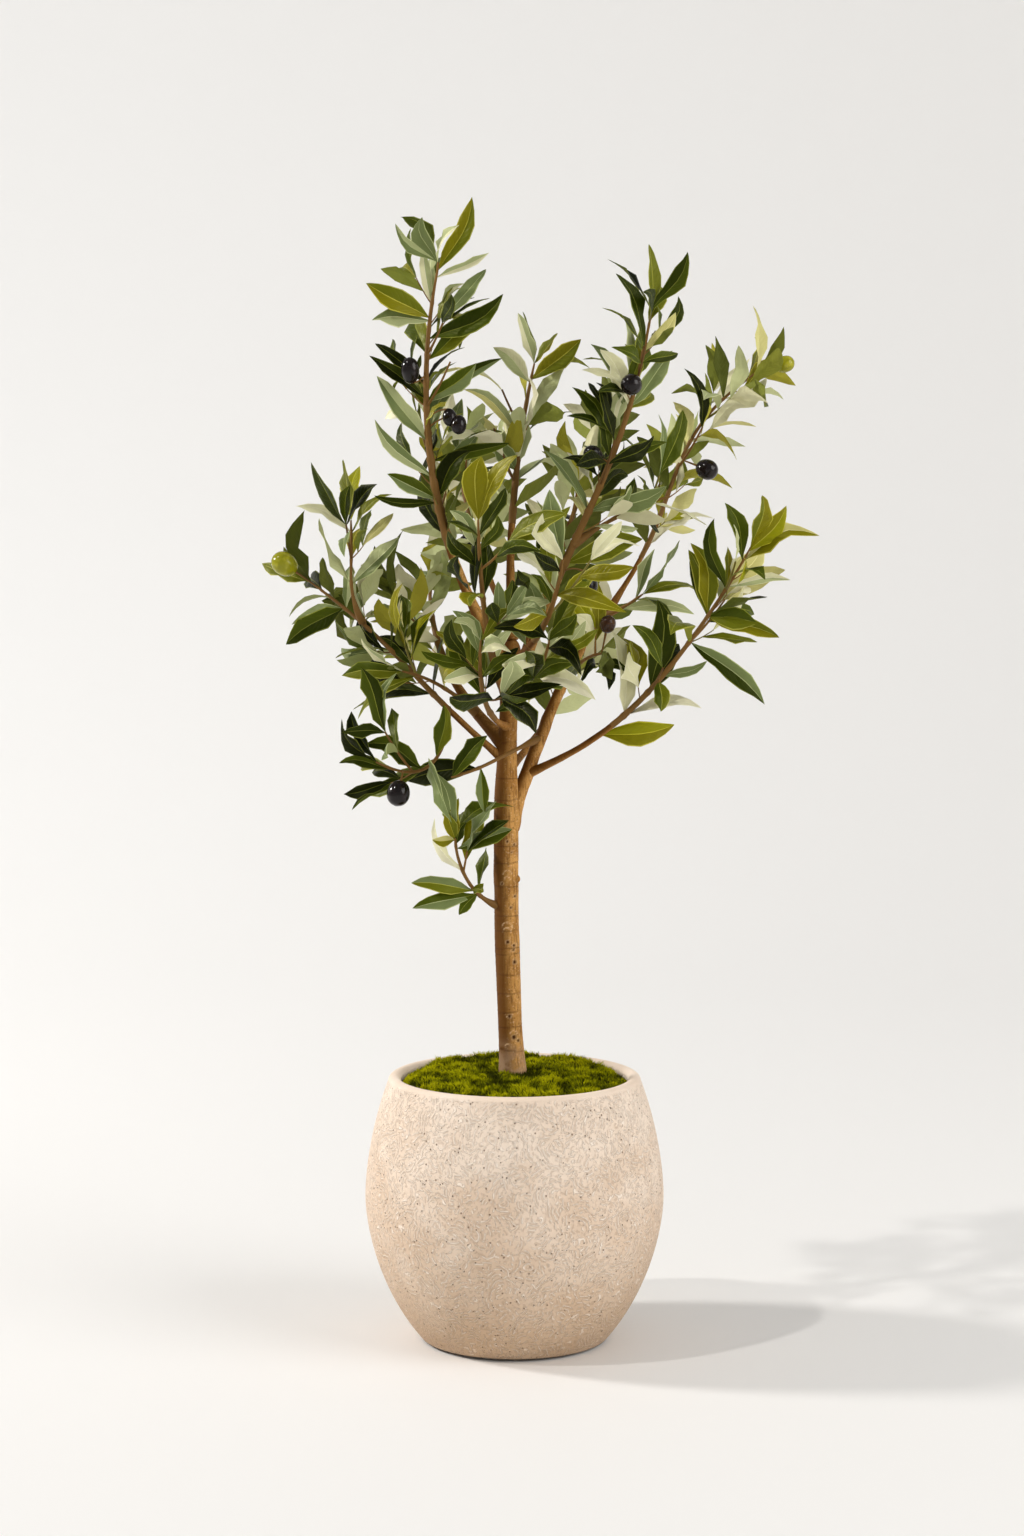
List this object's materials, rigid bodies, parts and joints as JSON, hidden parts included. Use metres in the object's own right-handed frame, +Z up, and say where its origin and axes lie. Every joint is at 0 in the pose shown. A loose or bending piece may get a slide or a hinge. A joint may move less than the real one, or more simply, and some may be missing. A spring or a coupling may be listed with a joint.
{
  "type": "potted olive tree",
  "caption": "Small olive tree with a slim bare trunk, open forked crown of lance-shaped leaves and a few olives, in a barrel-shaped planter topped with moss.",
  "frame": {"origin": "centre of the planter's flat underside, at floor level", "axes": "+Z up along the trunk, +X to the right and +Y to the back as seen in the picture"},
  "size_m": [0.5797, 0.5444, 1.209],
  "materials": {
    "planter": "matte beige stoneware, embossed with fine curls and pores, with a smooth lip",
    "potting_mix": "dark potting mix, hidden under the moss",
    "moss": "matte yellow-green tufts of moss",
    "bark": "smooth tan-brown bark with small scars and pores",
    "foliage": "leathery leaves, dark green above and grey-green below, with near-black and green olives"
  },
  "bodies": {
    "root": {"pot": "planter", "potting_mix": "potting_mix", "moss": "moss", "trunk": "bark", "bough_right": "bark", "bough_right_up": "bark", "bough_right_low": "bark", "bough_centre_right": "bark", "bough_leader": "bark", "bough_left_upright": "bark", "bough_left_low": "bark", "bough_fork_front": "bark", "bough_front_low": "bark", "bough_front_left": "bark", "bough_front_right": "bark", "bough_back_right": "bark", "bough_back_left": "bark", "bough_back_low": "bark", "bough_back_side": "bark", "foliage_right_up": "foliage", "foliage_right_low": "foliage", "foliage_centre_right": "foliage", "foliage_leader": "foliage", "foliage_left_upright": "foliage", "foliage_left_low": "foliage", "foliage_left_rise": "foliage", "foliage_low_left": "foliage", "foliage_cross": "foliage", "foliage_sprig": "foliage", "foliage_elbow": "foliage", "foliage_mid_right": "foliage", "foliage_fork_right": "foliage", "foliage_fork_left": "foliage", "foliage_fork_front": "foliage", "foliage_front_low": "foliage", "foliage_front_left": "foliage", "foliage_front_right": "foliage", "foliage_back_right": "foliage", "foliage_back_left": "foliage", "foliage_back_low": "foliage", "foliage_back_side": "foliage"}
  },
  "joints": []
}
